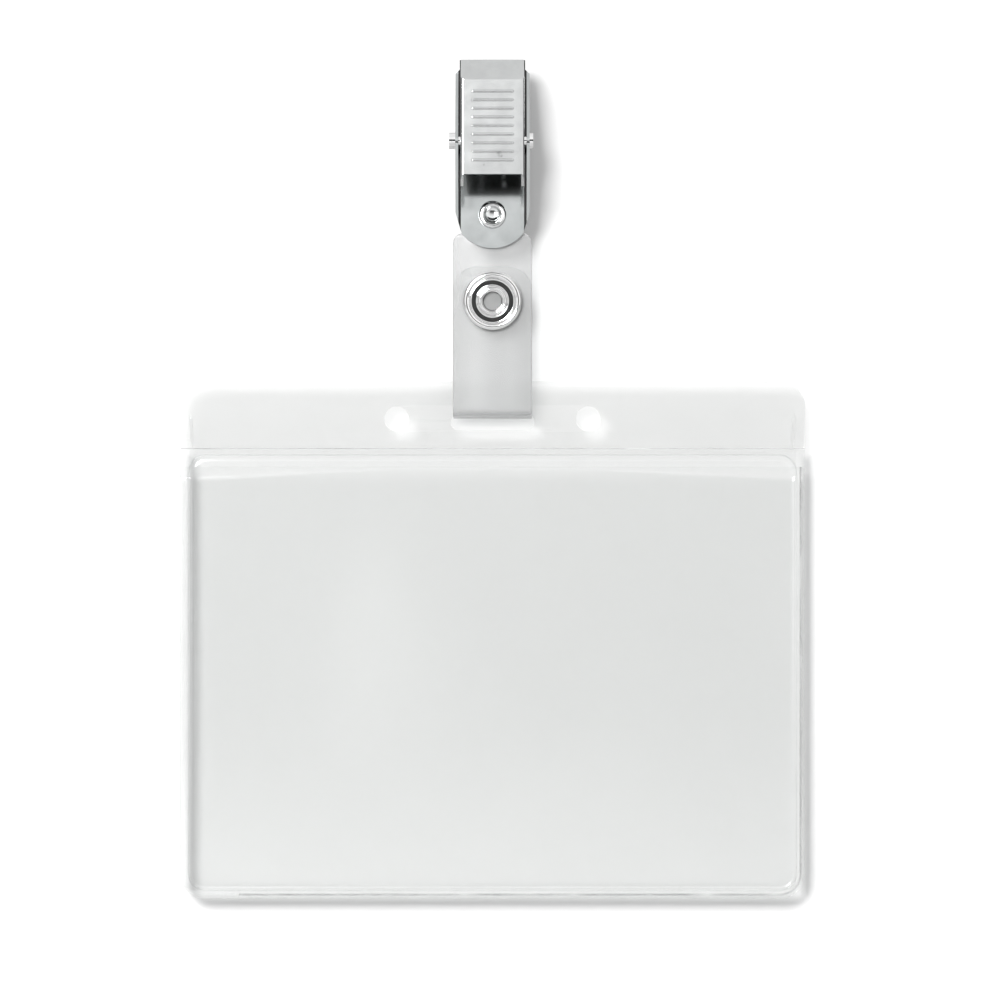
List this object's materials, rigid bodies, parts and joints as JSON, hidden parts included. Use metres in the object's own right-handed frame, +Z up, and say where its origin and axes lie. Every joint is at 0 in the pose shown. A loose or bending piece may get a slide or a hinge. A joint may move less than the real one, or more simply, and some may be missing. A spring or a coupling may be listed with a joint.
{
  "type": "badge holder with strap clip",
  "caption": "Clear soft-vinyl landscape badge holder hung from a vinyl snap strap and a sprung metal clip that swivels on a rivet.",
  "frame": {"origin": "where the clip's two jaw tips meet, on the middle of the jaw", "axes": "+Z up to the jaw from the hanging holder, +X across the holder, -Y is the front that shows the card"},
  "size_m": [0.105, 0.0135, 0.1407],
  "materials": {
    "satin_nickel": "satin nickel-plated pressed steel",
    "bright_nickel": "bright nickel plate",
    "spring_wire": "drawn spring wire",
    "strap_vinyl": "clear vinyl with a faint frost",
    "clear_vinyl": "clear soft vinyl"
  },
  "bodies": {
    "clip": {"clip_body": "satin_nickel", "pivot_pin": "bright_nickel", "clip_spring": "spring_wire", "clip_rivet": "bright_nickel"},
    "lever": {"lever": "satin_nickel"},
    "neck": {"strap_neck": "strap_vinyl"},
    "strap": {"strap_front": "strap_vinyl", "snap_eyelet": "bright_nickel", "snap_stud": "bright_nickel"},
    "tail": {"strap_tail": "strap_vinyl", "snap_socket": "bright_nickel", "socket_spring": "spring_wire", "snap_cap": "bright_nickel"},
    "holder": {"back_sheet": "clear_vinyl", "header_strip": "clear_vinyl", "window_sheet": "clear_vinyl"}
  },
  "joints": [
    {"name": "lever_press", "type": "hinge", "parent": "clip", "child": "lever", "pos_m": [0, -0.0026, -0.0137], "axis": [1, 0, 0], "range_deg": [0, 30], "stiffness_Nm_per_rad": 0.02, "springref_deg": -20.05, "deforming": ["clip_spring"]},
    {"name": "clip_swivel", "type": "hinge", "parent": "clip", "child": "neck", "pos_m": [0, 0.002, -0.0258], "axis": [0, 1, 0], "range_deg": [-90, 90]},
    {"name": "strap_flex", "type": "hinge", "parent": "neck", "child": "strap", "pos_m": [0, 0.002, -0.0336], "axis": [1, 0, 0], "range_deg": [-75, 75], "stiffness_Nm_per_rad": 0.0007, "springref_deg": 11.46},
    {"name": "snap_tail", "type": "hinge", "parent": "strap", "child": "tail", "pos_m": [0, 0.005, -0.0578], "axis": [-1, 0, 0], "range_deg": [0, 120], "deforming": ["socket_spring"]},
    {"name": "holder_rock", "type": "hinge", "parent": "strap", "child": "holder", "pos_m": [0, 0.0035, -0.0592], "axis": [1, 0, 0], "range_deg": [-7, 7]}
  ]
}
